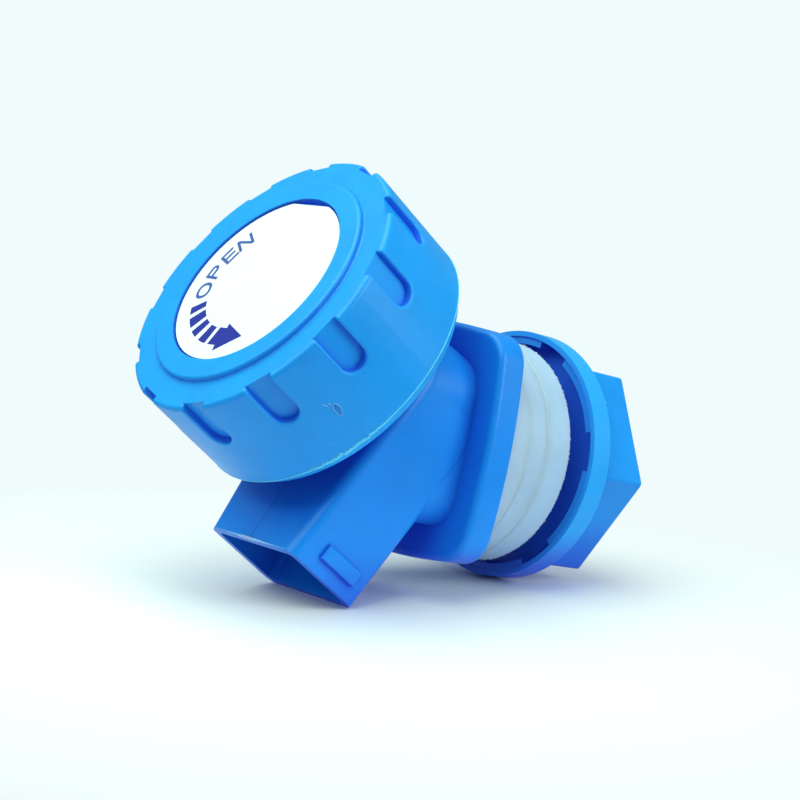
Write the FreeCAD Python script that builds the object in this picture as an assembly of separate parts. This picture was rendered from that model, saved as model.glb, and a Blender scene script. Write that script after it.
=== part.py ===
import FreeCAD, Part
import math
import os

from FreeCAD import Vector

# Turn-knob tap for a bottle, bucket or water barrel.
#
# Frame: +Z is up, +Y runs along the threaded shank into the container, and the origin is the
# centre of the flange's sealing face. The valve axis leans forward from +Z by valve_tilt, and
# everything that turns or slides inside the tap is drawn on it: there z = 0 is the knob's rim
# when the tap is shut, +z points out of the knob's face, and the spout leaves towards -y.
# Lengths are millimetres and angles are degrees.

# Valve axis
valve_tilt = 61.6
rim_centre_y = -24.68
rim_centre_z = 9.53

# Shank and its thread, drawn as the plain cylinder over the crests
shank_radius = 13.2
shank_length = 38.0
shank_bore_radius = 9.5
shank_bore_end = 2.0
inlet_radius = 8.4
shank_end_chamfer = 0.9

# Flange: a square with bowed sides and round corners
flange_half_size = 21.2
flange_thickness = 5.7
flange_bow = 1.7
flange_corner_radius = 6.0
flange_front_round = 1.2
flange_back_round = 0.5

# Neck between the flange and the valve body
neck_half_width = 15.8
neck_half_height = 15.0
neck_bow = 0.5
neck_corner_radius = 6.0
neck_length = 11.3
neck_side_flare = 1.6
neck_height_flare = 0.5

# Valve body and spout
body_radius = 16.0
body_top = 15.0
body_corner_radius = 12.5
body_side_blend = 60.0
body_front_setback = 5.55
spout_depth = 17.5
spout_reach = 33.0
spout_mouth_half_width = 11.8
spout_wall = 1.4
spout_edge_round = 2.0
pad_length = 8.7
pad_height = 2.7
pad_thickness = 0.9
pad_edge_round = 0.35
pad_from_mouth = 2.4
pad_from_front = 5.1

# Valve tube, which carries the knob's thread outside and the plunger inside
tube_radius = 14.7
tube_top = 11.0
tube_edge_chamfer = 0.6
chamber_radius = 12.4
port_radius = 7.5
seat_height = 1.5
seat_width = 1.4

# Thread between tube and knob: three starts of short ridges
thread_starts = 3
thread_lead = 12.0
knob_turn = 180.0
ridge_height = 1.5
ridge_root_width = 2.2
ridge_crest_width = 1.4
ridge_sink = 0.4
tube_ridge_start = -2.2
ridge_overlap_turn = 110.0
knob_ridge_turn = 100.0

# Knob
knob_radius = 26.4
knob_height = 22.8
knob_side_taper = 0.1
knob_wall = 2.6
knob_top_plate = 2.2
knob_rim_radius = 24.8
knob_rim_height = 2.3
knob_rim_round = 0.6
shoulder_height = 21.8
shoulder_round = 0.8
ring_radius = 20.95
ring_round = 0.55
ring_base_round = 0.35
knob_skirt_wall = 2.0
knob_skirt_bottom = 0.6
grip_count = 12
grip_first_angle = 15.0
grip_width = 4.5
grip_depth = 1.4
grip_bottom = 12.5
grip_edge_round = 0.4
knob_rest_angle = -2.0

# Label disc with one flat that sets which way up it sits
label_radius = 16.7
label_flat_distance = 15.95
label_thickness = 1.0
label_recess_radius = 17.05
label_sink = 0.4

# Hub, screw and plunger
hub_radius = 7.0
hub_plate = 2.4
screw_well_radius = 5.0
screw_well_depth = 7.0
screw_head_radius = 3.7
screw_head_height = 2.2
screw_shank_radius = 1.5
screw_length = 9.0
screw_slot_width = 1.0
screw_slot_length = 4.4
screw_slot_depth = 1.0
spigot_radius = 3.0
collar_radius = 6.2
collar_height = 4.0
piston_height = 8.0
stem_radius = 5.0
seal_holder_height = 3.2
seal_lip = 1.4
key_width = 2.8
key_height = 4.0
key_reach = 1.2

# Seals
seal_radius = 9.8
seal_thickness = 2.6
seal_hole_radius = 2.2
seal_button_radius = 3.3
seal_button_height = 1.0
o_ring_section = 2.4
o_ring_place = 0.5

# Washers on the shank: two inner ones, and an outer one for the other side of the wall
washer_radius = 20.5
inner_washer_thickness = 4.6
outer_washer_thickness = 5.6
washer_edge_round = 0.35

# Clamping nut with a cup that closes round the outer washer
nut_front = 18.2
nut_flange_radius = 23.16
nut_flange_thickness = 4.5
nut_flange_round = 0.3
nut_hex_height = 12.2
nut_hex_flats = 37.0
nut_rest_angle = 2.2
nut_hex_corner_round = 1.0
nut_edge_chamfer = 0.6
cup_wall = 1.0
cup_depth = 3.6
ledge_count = 6
ledge_arc = 41.0
ledge_first_angle = -1.2
ledge_set_back = 0.3

# Clearances
slide_clearance = 0.3
thread_clearance = 0.4
seal_clearance = 0.15
hub_clearance = 0.12
end_play = 0.1
washer_clearance = 0.4
cup_clearance = 0.3
snug = 0.05

# How far a cutting tool reaches past the face it cuts, and how near two sizes count as equal
past = 1.0
beyond_tap = 100.0
same = 1e-4

# Sizes that follow from the ones above
body_front = -body_front_setback
body_back = body_front - spout_depth
chamber_floor = body_back + spout_wall
seat_top = chamber_floor + seat_height
tube_ridge_turn = knob_turn + ridge_overlap_turn
skirt_bore = tube_radius + ridge_height + thread_clearance
skirt_radius = skirt_bore + knob_skirt_wall
label_bottom = knob_height - label_sink - label_thickness
plate_bottom = label_bottom - knob_top_plate
hub_top = label_bottom - screw_well_depth
hub_bottom = hub_top - hub_plate
spigot_top = hub_top + end_play
piston_top = hub_bottom - end_play - collar_height
piston_radius = chamber_radius - slide_clearance
o_ring_outer = chamber_radius - seal_clearance
washer_bore = shank_radius + washer_clearance
outer_washer_start = 2 * inner_washer_thickness
nut_back = nut_front + nut_flange_thickness
nut_end = nut_back + nut_hex_height
cup_radius = nut_flange_radius - cup_wall
cup_floor = nut_front + cup_depth

X_AXIS = Vector(1, 0, 0)
Y_AXIS = Vector(0, 1, 0)
Z_AXIS = Vector(0, 0, 1)
ORIGIN = Vector(0, 0, 0)


def on_valve_axis(shape):
    """Move a shape drawn about the valve axis to its place on the tap."""
    placed = shape.copy()
    placed.rotate(ORIGIN, X_AXIS, valve_tilt)
    placed.translate(Vector(0, rim_centre_y, rim_centre_z))
    return placed


def disc(radius, bottom, top):
    return Part.makeCylinder(radius, top - bottom, Vector(0, 0, bottom))


def ring(outer, inner, bottom, top):
    return disc(outer, bottom, top).cut(disc(inner, bottom - past, top + past))


def shank_disc(radius, start, end):
    """A cylinder about the shank axis."""
    return Part.makeCylinder(radius, end - start, Vector(0, start, 0), Y_AXIS)


def revolved(points, axis=Z_AXIS, turn=360.0):
    """Turn a closed outline of (radius, height) points round an axis."""
    if axis == Z_AXIS:
        corners = [Vector(r, 0, h) for r, h in points]
    else:
        corners = [Vector(r, h, 0) for r, h in points]
    face = Part.Face(Part.makePolygon(corners + corners[:1]))
    return face.revolve(ORIGIN, axis, turn)


def turned_copies(shape, count, axis=Z_AXIS, first_angle=0.0):
    """Copies of a shape spaced evenly round an axis through the origin."""
    copies = []
    for index in range(count):
        copy = shape.copy()
        copy.rotate(ORIGIN, axis, first_angle + 360.0 * index / count)
        copies.append(copy)
    return copies


def circles_at(shape, radius, height, axis=Z_AXIS):
    """The full circular edges of one radius at one height along an axis."""
    found = []
    for edge in shape.Edges:
        if not isinstance(edge.Curve, Part.Circle):
            continue
        same_radius = abs(edge.Curve.Radius - radius) < same
        same_height = abs(edge.Curve.Center.dot(axis) - height) < same
        if same_radius and same_height:
            found.append(edge)
    return found


def single(shape):
    """The one solid that a boolean result holds, with split faces joined."""
    clean = shape.removeSplitter()
    solids = clean.Solids
    if len(solids) != 1:
        raise ValueError("expected one solid, got %d" % len(solids))
    return solids[0]


# Outlines


def bowed_square(half_width, half_height, bow, y):
    """A square outline in a plane across the shank, each side bowed outwards."""
    corner_x = half_width - bow
    corner_z = half_height - bow
    corners = [
        Vector(corner_x, y, corner_z),
        Vector(-corner_x, y, corner_z),
        Vector(-corner_x, y, -corner_z),
        Vector(corner_x, y, -corner_z),
    ]
    middles = [
        Vector(0, y, half_height),
        Vector(-half_width, y, 0),
        Vector(0, y, -half_height),
        Vector(half_width, y, 0),
    ]
    edges = []
    for index, middle in enumerate(middles):
        start = corners[index]
        end = corners[(index + 1) % 4]
        edges.append(Part.Arc(start, middle, end).toShape())
    return Part.Wire(edges)


def lengthwise_edges(shape):
    """Edges that run from one end of a lofted block to the other."""
    box = shape.BoundBox
    reach = 0.9 * (box.YMax - box.YMin)
    return [edge for edge in shape.Edges if edge.BoundBox.YLength > reach and len(edge.Vertexes) == 2]


def rounded_rectangle(half_width, low, high, radius, y):
    """A rectangle with round corners in a plane across the spout, from z low to z high."""
    centre_x = half_width - radius
    arcs = []
    for side_x, z, start_angle in (
        (centre_x, high - radius, 0),
        (-centre_x, high - radius, 90),
        (-centre_x, low + radius, 180),
        (centre_x, low + radius, 270),
    ):
        points = []
        for step in (0, 45, 90):
            angle = math.radians(start_angle + step)
            points.append(Vector(side_x + radius * math.cos(angle), y, z + radius * math.sin(angle)))
        arcs.append(points)
    edges = []
    for index, points in enumerate(arcs):
        edges.append(Part.Arc(*points).toShape())
        edges.append(Part.makeLine(points[2], arcs[(index + 1) % 4][0]))
    return Part.Wire(edges)


def helical_ridge(root_radius, crest_radius, bottom, turn, start_angle):
    """One trapezoid ridge that climbs round the valve axis, its root sunk in its carrier."""
    outward = 1 if crest_radius > root_radius else -1
    sunk_radius = root_radius - outward * ridge_sink
    flank = (ridge_root_width - ridge_crest_width) / ridge_height
    sunk_half = ridge_root_width / 2 + ridge_sink * flank / 2
    crest_half = ridge_crest_width / 2
    corners = [
        Vector(sunk_radius, 0, -sunk_half),
        Vector(crest_radius, 0, -crest_half),
        Vector(crest_radius, 0, crest_half),
        Vector(sunk_radius, 0, sunk_half),
    ]
    profile = Part.makePolygon(corners + corners[:1])
    climb = thread_lead * turn / 360.0
    path = Part.Wire(Part.makeHelix(thread_lead, climb, root_radius).Edges)
    ridge = path.makePipeShell([profile], True, True)
    ridge.translate(Vector(0, 0, bottom))
    ridge.rotate(ORIGIN, Z_AXIS, start_angle)
    return ridge


# Tap body: spout, valve body, tube, neck, flange and shank in one moulding


def spout_tangent():
    """Where the spout's tapered side meets the valve body: (half width, distance down)."""
    mouth_distance = math.hypot(spout_mouth_half_width, spout_reach)
    mouth_angle = math.atan2(spout_mouth_half_width, spout_reach)
    touch_angle = mouth_angle + math.acos(body_radius / mouth_distance)
    return body_radius * math.sin(touch_angle), body_radius * math.cos(touch_angle)


def upright_edges(block, low, high):
    """Edges along the block's depth whose place across the valve axis lies from low to high."""
    found = []
    for edge in block.Edges:
        box = edge.BoundBox
        if box.ZLength > spout_depth / 2 and low < box.YMin and box.YMax < high:
            found.append(edge)
    return found


def valve_block():
    """The valve body with its tapered rectangular spout, about the valve axis."""
    side_width, side_down = spout_tangent()
    outline = [
        Vector(spout_mouth_half_width, -spout_reach, body_back),
        Vector(side_width, -side_down, body_back),
        Vector(side_width, body_top, body_back),
        Vector(-side_width, body_top, body_back),
        Vector(-side_width, -side_down, body_back),
        Vector(-spout_mouth_half_width, -spout_reach, body_back),
    ]
    block = Part.Face(Part.makePolygon(outline + outline[:1])).extrude(Vector(0, 0, spout_depth))
    block = block.makeFillet(body_corner_radius, upright_edges(block, body_top - past, body_top + past))
    block = block.makeFillet(body_side_blend, upright_edges(block, -side_down - past, -side_down + past))
    rims = []
    for edge in block.Edges:
        flat = edge.BoundBox.ZLength < same
        at_mouth = edge.BoundBox.YMax < -spout_reach + same
        if flat and not at_mouth:
            rims.append(edge)
    return block.makeFillet(spout_edge_round, rims)


def spout_half_width(down):
    """The spout's outer half width at a distance down from the valve axis."""
    tangent_width, tangent_down = spout_tangent()
    share = (down - tangent_down) / (spout_reach - tangent_down)
    return tangent_width + share * (spout_mouth_half_width - tangent_width)


def spout_pads():
    """The two raised pads beside the mouth, one on each side of the spout."""
    top = spout_reach - pad_from_mouth - pad_height
    bottom = spout_reach - pad_from_mouth
    front = body_front - pad_from_front
    outline = []
    for down in (top, bottom):
        reach = spout_half_width(down) + pad_thickness
        outline.append(Vector(reach, -down, front))
    profile = Part.Face(Part.makePolygon([
        Vector(0, -top, front),
        outline[0],
        outline[1],
        Vector(0, -bottom, front),
        Vector(0, -top, front),
    ]))
    pad = profile.extrude(Vector(0, 0, -pad_length))
    outer = [edge for edge in pad.Edges if edge.BoundBox.XMin > spout_mouth_half_width]
    pad = pad.makeFillet(pad_edge_round, outer)
    return pad.fuse(pad.mirror(ORIGIN, X_AXIS))


def spout_passage():
    """The rectangular way from the valve chamber to the mouth, open past the mouth."""
    low = body_back + spout_wall
    high = body_front - spout_wall
    mouth_half = spout_mouth_half_width - spout_wall
    slope = (chamber_radius - mouth_half) / spout_reach
    return Part.makeLoft([
        rounded_rectangle(chamber_radius - snug, low, high, spout_edge_round / 2, 0),
        rounded_rectangle(mouth_half - slope * past, low, high, spout_edge_round / 2, -spout_reach - past),
    ], True, True)


def tube_ridges():
    ridges = []
    for index in range(thread_starts):
        angle = 360.0 * index / thread_starts
        crest = tube_radius + ridge_height
        ridges.append(helical_ridge(tube_radius, crest, tube_ridge_start, tube_ridge_turn, angle))
    return ridges


def guide_key(radius, width, bottom, top):
    """A bar across the valve axis: both guide keys of the plunger, or both of their slots."""
    return Part.makeBox(width, 2 * radius, top - bottom, Vector(-width / 2, -radius, bottom))


def key_bottom():
    return piston_top - key_height


def make_flange():
    outline = bowed_square(flange_half_size, flange_half_size, flange_bow, -flange_thickness)
    plate = Part.Face(outline).extrude(Vector(0, flange_thickness, 0))
    plate = plate.makeFillet(flange_corner_radius, lengthwise_edges(plate))
    front = [edge for edge in plate.Edges if abs(edge.BoundBox.YMax + flange_thickness) < same]
    plate = plate.makeFillet(flange_front_round, front)
    back = [edge for edge in plate.Edges if abs(edge.BoundBox.YMin) < same]
    return plate.makeFillet(flange_back_round, back)


def make_neck():
    back_y = -flange_thickness / 2
    front_y = -flange_thickness - neck_length
    inside_flange = (flange_thickness / 2) / neck_length
    back_half_width = neck_half_width + neck_side_flare * inside_flange
    back_half_height = neck_half_height + neck_height_flare * inside_flange
    front_half_width = neck_half_width - neck_side_flare
    front_half_height = neck_half_height - neck_height_flare
    neck = Part.makeLoft([
        bowed_square(back_half_width, back_half_height, neck_bow, back_y),
        bowed_square(front_half_width, front_half_height, neck_bow, front_y),
    ], True, True)
    return neck.makeFillet(neck_corner_radius, lengthwise_edges(neck))


def half_space(top):
    """A block wider than the tap that fills the space below a height on the valve axis."""
    wide = 2 * beyond_tap
    return on_valve_axis(Part.makeBox(wide, wide, wide, Vector(-beyond_tap, -beyond_tap, top - wide)))


def make_tap_body():
    tube = disc(tube_radius, body_front - spout_edge_round, tube_top)
    tube = tube.makeChamfer(tube_edge_chamfer, circles_at(tube, tube_radius, tube_top))
    outside = valve_block().fuse([tube, spout_pads()] + tube_ridges())
    shank = shank_disc(shank_radius, -flange_thickness / 2, shank_length)
    shank = shank.makeChamfer(shank_end_chamfer, circles_at(shank, shank_radius, shank_length, Y_AXIS))
    behind_flange = Part.makeBox(
        2 * beyond_tap, beyond_tap, 2 * beyond_tap,
        Vector(-beyond_tap, -flange_thickness / 2, -beyond_tap),
    )
    block = on_valve_axis(outside).cut(behind_flange)
    neck = make_neck().common(half_space(body_front))
    solid = block.fuse([neck, make_flange(), shank])

    chamber = disc(chamber_radius, chamber_floor, tube_top + past)
    seat = ring(port_radius + seat_width, port_radius, chamber_floor, seat_top)
    slot_width = key_width + 2 * slide_clearance
    slot_bottom = key_bottom() - slide_clearance
    slots = guide_key(chamber_radius + key_reach, slot_width, slot_bottom, tube_top + past)
    port = disc(port_radius, body_back - past, chamber_floor + past)
    wet_space = chamber.cut(seat).fuse([spout_passage(), slots, port])

    bore = shank_disc(shank_bore_radius, shank_bore_end, shank_length + past)
    inlet = shank_disc(inlet_radius, rim_centre_y, shank_bore_end + past).common(half_space(body_back))
    return single(solid.cut(on_valve_axis(wet_space)).cut([bore, inlet]))


# Knob and what sits in its face


def knob_outline():
    """Half of the knob's outer section, as corners that get their rounds later."""
    shoulder_radius = knob_radius - knob_side_taper
    return [
        (0, 0),
        (knob_rim_radius, 0),
        (knob_radius, knob_rim_height),
        (shoulder_radius, shoulder_height),
        (ring_radius, shoulder_height),
        (ring_radius, knob_height),
        (0, knob_height),
    ]


def grip_groove():
    """A straight groove with a flat floor and a round lower end, open at the shoulder."""
    floor = knob_radius - grip_depth
    half = grip_width / 2
    centre = grip_bottom + half
    top = knob_height + past
    left = Vector(floor, -half, centre)
    right = Vector(floor, half, centre)
    left_top = Vector(floor, -half, top)
    right_top = Vector(floor, half, top)
    edges = [
        Part.Arc(left, Vector(floor, 0, grip_bottom), right).toShape(),
        Part.makeLine(right, right_top),
        Part.makeLine(right_top, left_top),
        Part.makeLine(left_top, left),
    ]
    return Part.Face(Part.Wire(edges)).extrude(Vector(2 * grip_depth, 0, 0))


def grip_edges(cap):
    """The outer edges of the grooves, on the knob's side below its shoulder."""
    found = []
    for edge in cap.Edges:
        first, last = edge.ParameterRange
        middle = edge.valueAt((first + last) / 2)
        on_side = abs(math.hypot(middle.x, middle.y) - knob_radius) < knob_side_taper + same
        rises = edge.BoundBox.ZLength > same
        in_reach = grip_bottom - same < middle.z < shoulder_height - shoulder_round
        if on_side and rises and in_reach and len(edge.Vertexes) == 2:
            found.append(edge)
    return found


def knob_ridges():
    """The knob's ridges lie midway between the tube's, over one part of a turn."""
    half_pitch = thread_lead / thread_starts / 2
    crest = skirt_bore - ridge_height
    bottom = knob_skirt_bottom + ridge_root_width
    turned = (bottom - half_pitch - tube_ridge_start) / thread_lead * 360.0
    ridges = []
    for index in range(thread_starts):
        angle = turned + 360.0 * index / thread_starts
        ridges.append(helical_ridge(skirt_bore, crest, bottom, knob_ridge_turn, angle))
    return ridges


def make_knob():
    shoulder_radius = knob_radius - knob_side_taper
    cap = revolved(knob_outline())
    cap = cap.makeFillet(knob_rim_round, circles_at(cap, knob_rim_radius, 0))
    cap = cap.makeFillet(shoulder_round, circles_at(cap, shoulder_radius, shoulder_height))
    cap = cap.makeFillet(ring_base_round, circles_at(cap, ring_radius, shoulder_height))
    cap = cap.makeFillet(ring_round, circles_at(cap, ring_radius, knob_height))
    first_groove = grip_first_angle + knob_rest_angle
    cap = cap.cut(turned_copies(grip_groove(), grip_count, Z_AXIS, first_groove))
    cap = cap.makeFillet(grip_edge_round, grip_edges(cap))

    recess = disc(label_recess_radius, label_bottom, knob_height + past)
    hollow = disc(knob_radius - knob_wall, -past, plate_bottom)
    cap = cap.cut([recess, hollow])

    skirt = ring(skirt_radius, skirt_bore, knob_skirt_bottom, plate_bottom)
    hub = disc(hub_radius, hub_bottom, plate_bottom)
    cap = cap.fuse([skirt, hub] + knob_ridges())
    well = disc(screw_well_radius, hub_top, label_bottom + past)
    bore = disc(spigot_radius + hub_clearance, hub_bottom - past, hub_top + past)
    return single(cap.cut([well, bore]))


def make_label():
    plate = disc(label_radius, label_bottom, label_bottom + label_thickness)
    beyond_flat = Part.makeBox(
        2 * label_radius, label_radius, label_thickness + 2 * past,
        Vector(-label_radius, label_flat_distance, label_bottom - past),
    )
    label = plate.cut(beyond_flat)
    label.rotate(ORIGIN, Z_AXIS, knob_rest_angle)
    return single(label)


def make_screw():
    head_bottom = spigot_top
    head_top = head_bottom + screw_head_height
    head = disc(screw_head_radius, head_bottom, head_top)
    head = head.makeFillet(screw_head_height / 2, circles_at(head, screw_head_radius, head_top))
    shank = disc(screw_shank_radius, head_bottom - screw_length, head_bottom + screw_head_height / 2)
    slot = Part.makeBox(
        screw_slot_width, screw_slot_length, screw_slot_depth + past,
        Vector(-screw_slot_width / 2, -screw_slot_length / 2, head_top - screw_slot_depth),
    )
    cross = slot.copy()
    cross.rotate(ORIGIN, Z_AXIS, 90)
    return single(head.fuse(shank).cut([slot, cross]))


# Plunger and its seals


def piston_bottom():
    return piston_top - piston_height


def o_ring_height():
    """Height of the O-ring's middle plane."""
    return (piston_top + piston_bottom()) / 2 - o_ring_place


def make_plunger():
    seal_top = seat_top + seal_thickness
    holder_top = seat_top + seal_lip + seal_holder_height
    collar = disc(collar_radius, piston_top, piston_top + collar_height)
    spigot = disc(spigot_radius, piston_top, spigot_top)
    piston = disc(piston_radius, piston_bottom(), piston_top)
    stem = disc(stem_radius, seal_top, piston_bottom())
    holder = disc(seal_radius + seal_lip, seat_top + seal_lip, holder_top)
    nub = disc(seal_hole_radius - snug, seat_top - seal_button_height, seal_top)
    button = disc(seal_button_radius, seat_top - seal_button_height, seat_top)
    keys = guide_key(chamber_radius + key_reach - slide_clearance, key_width, key_bottom(), piston_top)

    half_groove = o_ring_section / 2 + snug
    groove_floor = o_ring_outer - o_ring_section
    middle = o_ring_height()
    groove = ring(piston_radius + key_reach + past, groove_floor, middle - half_groove, middle + half_groove)
    pocket = disc(seal_radius + snug, seat_top - past, seal_top)
    pilot = disc(screw_shank_radius, spigot_top - screw_length, spigot_top + past)

    solid = holder.cut(pocket).fuse([nub, button, stem, piston, keys, collar, spigot])
    return single(solid.cut([groove, pilot]))


def make_seal():
    plate = ring(seal_radius, seal_hole_radius, seat_top, seat_top + seal_thickness)
    return single(plate)


def make_o_ring():
    radius = o_ring_section / 2
    return Part.makeTorus(o_ring_outer - radius, radius, Vector(0, 0, o_ring_height()))


# Washers and nut on the shank


def make_washer(start, thickness):
    plate = shank_disc(washer_radius, start, start + thickness)
    plate = plate.cut(shank_disc(washer_bore, start - past, start + thickness + past))
    rims = circles_at(plate, washer_radius, start, Y_AXIS)
    rims += circles_at(plate, washer_radius, start + thickness, Y_AXIS)
    return single(plate.makeFillet(washer_edge_round, rims))


def hex_prism():
    """The nut's hexagon, sunk a little into its flange."""
    corner_radius = nut_hex_flats / math.sqrt(3)
    corners = []
    start = nut_back - past
    for index in range(6):
        angle = math.radians(60 * index)
        corners.append(Vector(corner_radius * math.cos(angle), start, corner_radius * math.sin(angle)))
    prism = Part.Face(Part.makePolygon(corners + corners[:1])).extrude(Vector(0, nut_end - start, 0))
    prism = prism.makeFillet(nut_hex_corner_round, lengthwise_edges(prism))
    end_edges = [edge for edge in prism.Edges if abs(edge.BoundBox.YMin - nut_end) < same]
    return prism.makeChamfer(nut_edge_chamfer, end_edges)


def cup_ledges():
    """Arc-shaped ledges inside the cup that centre the outer washer."""
    inner = washer_radius + cup_clearance
    outer = cup_radius + snug
    front = nut_front + ledge_set_back
    section = [(inner, front), (outer, front), (outer, cup_floor), (inner, cup_floor)]
    ledge = revolved(section, Y_AXIS, ledge_arc)
    return turned_copies(ledge, ledge_count, Y_AXIS, ledge_first_angle)


def make_nut():
    plate = shank_disc(nut_flange_radius, nut_front, nut_back)
    plate = plate.makeFillet(nut_flange_round, circles_at(plate, nut_flange_radius, nut_back, Y_AXIS))
    cup = shank_disc(cup_radius, nut_front - past, cup_floor)
    solid = plate.cut(cup).fuse([hex_prism()] + cup_ledges())
    bore_radius = shank_radius + slide_clearance
    bore = shank_disc(bore_radius, nut_front - past, nut_end + past)
    lead_in = revolved([
        (0, nut_end - nut_edge_chamfer),
        (bore_radius, nut_end - nut_edge_chamfer),
        (bore_radius + nut_edge_chamfer + past, nut_end + past),
        (0, nut_end + past),
    ], Y_AXIS)
    nut = solid.cut([bore, lead_in])
    nut.rotate(ORIGIN, Y_AXIS, nut_rest_angle)
    return single(nut)


def build():
    return {
        "tap_body": make_tap_body(),
        "knob": on_valve_axis(make_knob()),
        "knob_label": on_valve_axis(make_label()),
        "knob_screw": on_valve_axis(make_screw()),
        "plunger": on_valve_axis(make_plunger()),
        "seal_disc": on_valve_axis(make_seal()),
        "plunger_o_ring": on_valve_axis(make_o_ring()),
        "inner_washer_1": make_washer(0, inner_washer_thickness),
        "inner_washer_2": make_washer(inner_washer_thickness, inner_washer_thickness),
        "outer_washer": make_washer(outer_washer_start, outer_washer_thickness),
        "clamp_nut": make_nut(),
    }


os.makedirs("parts", exist_ok=True)
for name, shape in build().items():
    if not shape.isValid():
        raise ValueError(name + " is not a valid solid")
    shape.exportStep("parts/" + name + ".step")
    print(name, "volume", round(shape.Volume, 1), "faces", len(shape.Faces))
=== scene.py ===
import math
import random

import bmesh
import bpy
from mathutils import Matrix, Vector, noise


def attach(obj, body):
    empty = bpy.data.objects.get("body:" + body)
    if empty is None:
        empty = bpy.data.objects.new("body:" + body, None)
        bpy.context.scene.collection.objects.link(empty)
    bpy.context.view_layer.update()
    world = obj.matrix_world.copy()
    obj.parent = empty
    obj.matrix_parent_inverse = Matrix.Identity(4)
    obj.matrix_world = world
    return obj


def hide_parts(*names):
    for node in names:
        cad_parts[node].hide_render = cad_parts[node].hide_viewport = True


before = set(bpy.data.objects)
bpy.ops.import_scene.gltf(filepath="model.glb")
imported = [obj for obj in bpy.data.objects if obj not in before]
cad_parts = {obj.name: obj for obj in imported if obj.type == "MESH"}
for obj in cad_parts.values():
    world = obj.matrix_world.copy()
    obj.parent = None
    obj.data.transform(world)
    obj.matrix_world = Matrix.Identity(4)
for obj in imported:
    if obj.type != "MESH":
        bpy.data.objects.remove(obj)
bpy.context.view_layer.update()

# The bottle tap as it lies in the photograph. Every length in this script is in millimetres and is
# turned into metres by mm() or MM. Places on the knob and spout are given on the valve axis, as in
# the CAD: x across the tap, y up the leaning valve body, and h along the axis out of the knob's face.

MM = 0.001

# Sizes that repeat the CAD's
VALVE_TILT = math.radians(61.6)
RIM_CENTRE = Vector((0.0, -24.68, 9.53))
KNOB_RADIUS = 26.4
KNOB_RIM_HEIGHT = 2.3
LABEL_TOP = 22.4
BODY_FRONT = -5.55
SPOUT_REACH = 33.0
SPOUT_MOUTH_HALF = 11.8
SPOUT_EDGE_ROUND = 2.0
SHANK_RADIUS = 13.2
SHANK_LENGTH = 38.0
SHANK_CHAMFER = 0.9
SHANK_BORE = 9.5
SHANK_BORE_END = 2.0
INLET_RADIUS = 8.4
WASHER_RADIUS = 20.5
WASHER_JOINTS = (4.6, 9.2)
OUTER_WASHER_END = 14.8
NECK_HALF = 15.84
NECK_TOP = 15.2
NECK_ROUND = 7.0
NECK_FLANGE_Y = -5.65
BODY_HALF = 15.86
BODY_TOP = 15.0
BODY_ROUND = 12.5
BODY_SHOULDER = -7.6
NUT_FRONT = 18.2
NUT_FLANGE_RADIUS = 23.16
NUT_FLANGE_BACK = 22.7
NUT_CUP_FLOOR = 21.7
NUT_END = 34.9
NUT_BORE = 13.5
NUT_LEAD_IN = 14.1


def mm(point):
    return Vector(point) * MM


def on_valve(x, y, h):
    """A point given on the valve axis, in the row frame in metres."""
    across = Vector((1.0, 0.0, 0.0))
    up = Vector((0.0, math.cos(VALVE_TILT), math.sin(VALVE_TILT)))
    out = Vector((0.0, -math.sin(VALVE_TILT), math.cos(VALVE_TILT)))
    return (RIM_CENTRE + across * x + up * y + out * h) * MM


def round_valve(radius, degrees, h):
    angle = math.radians(degrees)
    return on_valve(radius * math.cos(angle), radius * math.sin(angle), h)


def new_object(name, verts, faces, smooth=False):
    mesh = bpy.data.meshes.new(name)
    mesh.from_pydata([tuple(v) for v in verts], [], faces)
    mesh.validate()
    mesh.update()
    work = bmesh.new()
    work.from_mesh(mesh)
    bmesh.ops.recalc_face_normals(work, faces=work.faces)
    work.to_mesh(mesh)
    work.free()
    for polygon in mesh.polygons:
        polygon.use_smooth = smooth
    piece = bpy.data.objects.new(name, mesh)
    bpy.context.scene.collection.objects.link(piece)
    return piece


def dress(piece, material, body):
    piece.data.materials.clear()
    piece.data.materials.append(material)
    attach(piece, body)


# Materials


def new_material(name):
    material = bpy.data.materials.new(name)
    material.use_nodes = True
    tree = material.node_tree
    shader = tree.nodes["Principled BSDF"]
    return material, tree, shader


def add(tree, kind, **values):
    node = tree.nodes.new(kind)
    for key, value in values.items():
        setattr(node, key, value)
    return node


def noise_at(tree, places, scale, detail=3.0, roughness=0.5):
    node = add(tree, "ShaderNodeTexNoise")
    node.inputs["Scale"].default_value = scale
    node.inputs["Detail"].default_value = detail
    node.inputs["Roughness"].default_value = roughness
    tree.links.new(places, node.inputs["Vector"])
    return node.outputs["Fac"]


def ramp(tree, value, stops):
    """A colour ramp; stops are (position, (r, g, b))."""
    node = add(tree, "ShaderNodeValToRGB")
    elements = node.color_ramp.elements
    while len(elements) < len(stops):
        elements.new(0.5)
    for element, (position, colour) in zip(elements, stops):
        element.position = position
        element.color = (*colour, 1.0)
    tree.links.new(value, node.inputs["Fac"])
    return node.outputs["Color"]


def spread(tree, value, low, high, from_low=0.0, from_high=1.0):
    """Maps a value's range from_low to from_high onto low to high."""
    node = add(tree, "ShaderNodeMapRange")
    node.inputs["From Min"].default_value = from_low
    node.inputs["From Max"].default_value = from_high
    node.inputs["To Min"].default_value = low
    node.inputs["To Max"].default_value = high
    tree.links.new(value, node.inputs["Value"])
    return node.outputs["Result"]


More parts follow.
